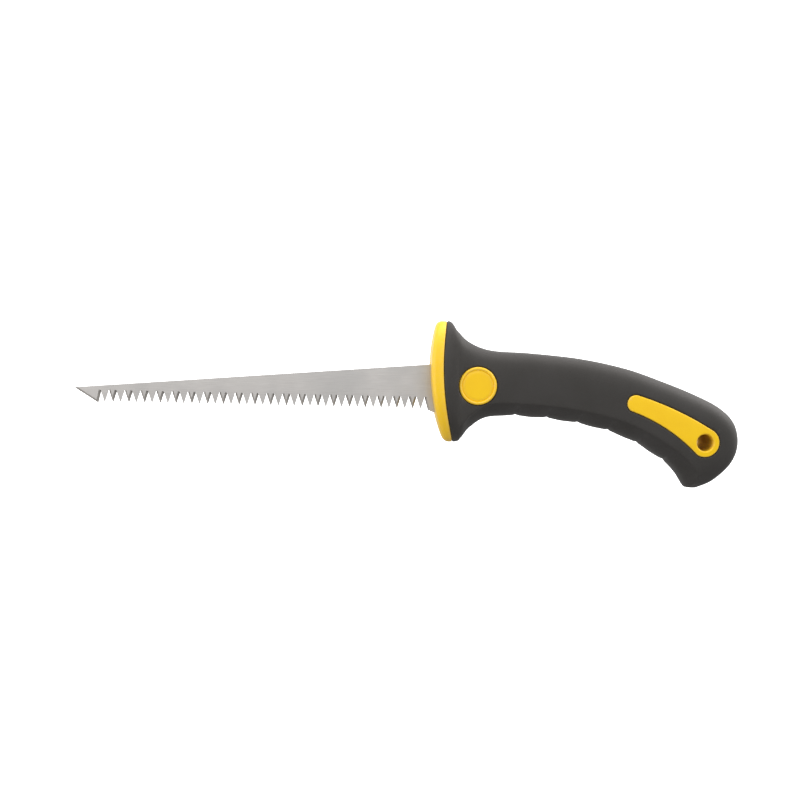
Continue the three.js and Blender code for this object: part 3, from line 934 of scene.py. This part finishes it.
def makeRim():
    front, rear, rim = guard["frontRadius"], guard["rearRadius"], guard["rim"]
    halfWidth, halfHeight, floor = guard["pocket"]
    slot = slotOutline(guardOutline)
    pocket = boxOutline(halfWidth, halfHeight, guardOutline)
    bm = bmesh.new()
    start = [toFrame(floor, y, z) for y, z in slot]
    loop = startRing(bm, start)
    rings = [[toFrame(floor, y, z) for y, z in pocket], onBow(pocket, rear, rim)]
    back = guard["rearRounding"]
    for degrees in range(0, 91, 30):
        turn = math.radians(degrees)
        outline = insetOutline(guardOutline, back * (1 - math.sin(turn)))
        rings.append(onBow(outline, rear, rim - back * (1 - math.cos(turn))))
    rounding = guard["rounding"]
    for degrees in range(0, 91, 15):
        turn = math.radians(degrees)
        outline = insetOutline(guardOutline, rounding * (1 - math.cos(turn)))
        rings.append(onBow(outline, front, rounding * (1 - math.sin(turn))))
    face = insetOutline(guardOutline, rounding)
    edge = guard["slotEdge"]
    lip = [(y + math.copysign(edge, y) if y else 0, z + math.copysign(edge, z)) for y, z in slot]
    for share in guard["faceShares"]:
        rings.append(onBow(mixOutline(face, lip, share), front, 0))
    rings.append(onBow(slot, front, edge))
    loop = growRings(bm, loop, rings)
    growRing(bm, loop, start)
    return bm


finishPiece("guard_band", makeRim(), yellowPlastic, "yellow_plastic", "guard_rim", sharp=50)
print("guard rim made")


def makeBadge(side):
    # half a section, turned about the bolt's line
    radius, rounding, top = badge["radius"], badge["rounding"], badge["top"]
    spigot, spigotBase, base = badge["spigot"], badge["spigotBase"], badge["base"]
    rimEdge = radius - badge["rim"]
    faceEdge = rimEdge - badge["grooveWidth"]
    profile = [(0, spigotBase), (spigot, spigotBase), (spigot, base), (radius, base)]
    for degrees in range(0, 91, 15):
        turn = math.radians(degrees)
        profile.append((radius - rounding * (1 - math.cos(turn)), top - rounding * (1 - math.sin(turn))))
    for edge, height, corner in (
        (rimEdge, top, "rimCorner"),
        (rimEdge, badge["groove"], "outerCorner"),
        (faceEdge, badge["groove"], "innerCorner"),
        (faceEdge, badge["face"], "faceCorner"),
    ):
        profile += [(edge + out, height + up) for out, up in badge[corner]]
    for share in (0.8, 0.6, 0.4, 0.2, 0):
        profile.append((faceEdge * share, badge["face"] + badge["crown"] * (1 - share ** 2)))
    bm = bmesh.new()
    centre = toFrame(badge["x"], 0, badge["z"])
    points = [centre + Vector((r, y, 0)) * mm for r, y in profile]
    spinProfile(bm, points, centre, (0, 1, 0), badge["turns"])
    return mirrored(bm) if side < 0 else bm


for side, name in ((1, "right"), (-1, "left")):
    form = makeBadge(side)
    finishPiece(f"badge_disc_{name}", form, yellowPlastic, "yellow_plastic", f"badge_{name}", sharp=40)
print("badges made")


def slitPath(radius):
    # where the inlay's outline leads inwards: along its spine, round the hole and back
    arc, sideParts = inlay["arcParts"], inlay["sideParts"]
    toNose = math.atan2(-spineReach.y, -spineReach.x)
    meet = polar(holeCentre, radius, toNose)
    along = round(sideParts * inlay["spineShare"])
    spine = bentPoints(noseCentre, meet, inlay["spineBow"], along)
    turnDown = (lowerAngle - toNose) % (2 * math.pi)
    turnUp = (toNose - upperAngle) % (2 * math.pi)
    path = [noseCentre.copy() for _ in range(arc)] + spine
    path += arcPoints(holeCentre, radius, toNose, toNose + turnDown, sideParts - along)
    path += arcPoints(holeCentre, radius, lowerAngle, upperAngle, arc)
    path += arcPoints(holeCentre, radius, upperAngle, upperAngle + turnUp, sideParts - along)
    path += [meet.copy()] + list(reversed(spine[1:]))
    return path


def openEdges(bm, low, high):
    # open edges that stand between two distances from the hole's axis
    centre = toFrame(holeCentre.x, 0, holeCentre.y)
    found = []
    for edge in bm.edges:
        reach = edge.verts[0].co - centre
        if edge.is_boundary and low * mm < math.hypot(reach.x, reach.z) < high * mm:
            found.append(edge)
    return found


def sinkLoop(bm, loop, radius, keep=1, rise=0):
    # extrudes a loop about the hole to a radius; its heights are kept by a share and raised
    place = bm.verts.layers.int["place"]
    centre = toFrame(holeCentre.x, 0, holeCentre.y)
    points = {}
    for edge in loop:
        for vert in edge.verts:
            out = vert.co - centre
            height = out.y / mm * keep + rise
            out.y = 0
            points[vert[place]] = centre + out.normalized() * radius * mm + Vector((0, height * mm, 0))
    return growRing(bm, loop, points)


def makeInlay(side):
    rounding, proud, lip, thick = inlay["rounding"], inlay["proud"], inlay["lip"], inlay["thick"]
    holeRadius, tubeRadius, slack = inlay["holeRadius"], inlay["tubeRadius"], inlay["slack"]
    bm = bmesh.new()
    edge = dropOutline(0)
    loop = startRing(bm, skinRing(edge, -thick))
    for degrees in (0, 20, 40, 60, 80, 90):
        turn = math.radians(degrees)
        ring = dropOutline(-rounding * (1 - math.cos(turn)))
        loop = growRing(bm, loop, skinRing(ring, proud - rounding * (1 - math.sin(turn))))
    inner, path = dropOutline(-rounding), slitPath(holeRadius + lip)
    for share in (0.15, 0.35, 0.6, 0.8, 1):
        ring = [p.lerp(q, share) for p, q in zip(inner, path)]
        loop = growRing(bm, loop, skinRing(ring, proud))
    # the underside leads in to the outside of the hanging hole's tube
    under = [item for item in bm.edges if item.is_boundary and item not in set(loop)]
    path = slitPath(tubeRadius)
    for share in (0.5, 1):
        ring = [p.lerp(q, share) for p, q in zip(edge, path)]
        under = growRing(bm, under, skinRing(ring, -thick))
    bmesh.ops.remove_doubles(bm, verts=bm.verts, dist=seamGap * mm)
    hole = openEdges(bm, holeRadius, holeRadius + 2 * lip)
    tube = openEdges(bm, tubeRadius - slack, tubeRadius + slack)
    sunk = 0
    for degrees in (20, 40, 60, 80, 90):
        turn = math.radians(degrees)
        step = lip * (1 - math.cos(turn)) - sunk
        sunk += step
        hole = sinkLoop(bm, hole, holeRadius + lip * (1 - math.sin(turn)), rise=-step)
    for quarters in (3, 2, 1):
        hole = sinkLoop(bm, hole, holeRadius, keep=quarters / (quarters + 1))
    hole = sinkLoop(bm, hole, holeRadius, keep=0, rise=inlay["middleGap"])
    tube = sinkLoop(bm, tube, tubeRadius, keep=0, rise=inlay["middleGap"])
    bmesh.ops.bridge_loops(bm, edges=hole + tube)
    return mirrored(bm) if side < 0 else bm


for side, name in ((1, "right"), (-1, "left")):
    form = makeInlay(side)
    finishPiece(f"inlay_sweep_{name}", form, yellowPlastic, "yellow_plastic", f"inlay_{name}", sharp=45)
print("inlays made")


studio = {
    "floor": -250,  # below the frame's origin
    "coveRadius": 1500,
    "coveInner": 450,
    "coveCurve": 600,
    "coveTop": 1500,
    "coveTurns": 64,
    "paint": (120, 120, 120),
    "shownPaint": (240, 240, 239),
    "glow": (0.14, 1.05),  # floor and wall
    "glowHeight": (-0.2, 0.1),  # between the two, in metres
    "shownExtra": 0.45,
    "air": 0.65,
}
softboxes = {
    # place and target from the saw's middle and size, in metres; power in watts; tint
    "topBox": ((0.06, -0.06, 0.8), (0, 0, 0), (1.1, 0.6), 4.8, (1, 0.94, 0.95)),
    "sideBox": ((-0.75, -0.35, 0.05), (0, 0, 0), (0.5, 0.6), 1.6, (1, 0.95, 0.93)),
    "buttBox": ((0.64, 0.05, 0.4), (0.1, 0, 0), (0.4, 0.4), 3.4, (1, 0.97, 0.95)),
}


def makeStudioWhite():
    # pale matt paint; it glows a little, more up the wall than on the floor, so that the saw is lit all round
    material, tree, shader = newMaterial("studioWhite")
    seen = addNode(tree, "ShaderNodeLightPath").outputs["Is Camera Ray"]
    paint = mixColour(tree, seen, rgb(*studio["paint"]), rgb(*studio["shownPaint"]))
    link(tree, paint, shader.inputs["Base Color"])
    shader.inputs["Roughness"].default_value = 0.9
    shader.inputs["Specular IOR Level"].default_value = 0
    shader.inputs["Emission Color"].default_value = (1, 1, 1, 1)
    height = splitNode(tree, coordinates(tree))["Z"]
    glow = rangeNode(tree, height, *studio["glowHeight"], *studio["glow"])
    extra = mathNode(tree, "MULTIPLY", seen, studio["shownExtra"])
    link(tree, mathNode(tree, "ADD", glow, extra), shader.inputs["Emission Strength"])
    return material


def makeCove():
    # a round seamless floor that sweeps up into a wall
    floor, radius = studio["floor"] * mm, studio["coveRadius"] * mm
    curve, top = studio["coveCurve"] * mm, studio["coveTop"] * mm
    profile = [(0, floor), (studio["coveInner"] * mm, floor), (radius - curve, floor)]
    steps = 12
    for step in range(1, steps + 1):
        turn = math.pi / 2 * step / steps
        profile.append((radius - curve + curve * math.sin(turn), floor + curve * (1 - math.cos(turn))))
    profile.append((radius, top))
    bm = bmesh.new()
    spinProfile(bm, [(r, 0, z) for r, z in profile], (0, 0, 0), (0, 0, 1), studio["coveTurns"])
    bmesh.ops.remove_doubles(bm, verts=bm.verts, dist=seamGap * mm)
    bmesh.ops.recalc_face_normals(bm, faces=bm.faces)
    bmesh.ops.reverse_faces(bm, faces=bm.faces)
    mesh = bpy.data.meshes.new("cove")
    bm.to_mesh(mesh)
    bm.free()
    cove = bpy.data.objects.new("cove", mesh)
    bpy.context.scene.collection.objects.link(cove)
    mesh.materials.append(makeStudioWhite())
    mesh.shade_smooth()


def addSoftbox(name, place, target, size, power, tint):
    light = bpy.data.lights.new(name, "AREA")
    light.shape = "RECTANGLE"
    light.size, light.size_y = size
    light.energy = power
    light.color = tint
    box = bpy.data.objects.new(name, light)
    box.location = place
    box.rotation_euler = (target - place).to_track_quat("-Z", "Y").to_euler()
    bpy.context.scene.collection.objects.link(box)


def makeWorld(strength):
    world = bpy.data.worlds.new("studioAir")
    world.use_nodes = True
    background = world.node_tree.nodes["Background"]
    background.inputs["Color"].default_value = (1, 1, 1, 1)
    background.inputs["Strength"].default_value = strength
    bpy.context.scene.world = world


view = {
    "lens": 46.67,
    "shift": 0.0186,
    "place": (-21, -480, -6.3),  # from the guard's foremost line and the blade bolt
}


def makeCamera():
    lens = bpy.data.cameras.new("camera")
    lens.lens = view["lens"]
    lens.shift_x = view["shift"]
    camera = bpy.data.objects.new("camera", lens)
    camera.location = toFrame(*view["place"])
    camera.rotation_euler = (math.radians(90), 0, 0)
    bpy.context.scene.collection.objects.link(camera)
    bpy.context.scene.camera = camera


makeCamera()
makeCove()
makeWorld(studio["air"])
middle = (cadLow + cadHigh) / 2
for name, (place, target, size, power, tint) in softboxes.items():
    addSoftbox(name, middle + Vector(place), middle + Vector(target), size, power, tint)
bpy.context.scene.view_settings.view_transform = "Standard"
bpy.context.scene.view_settings.look = "None"
print("studio made")
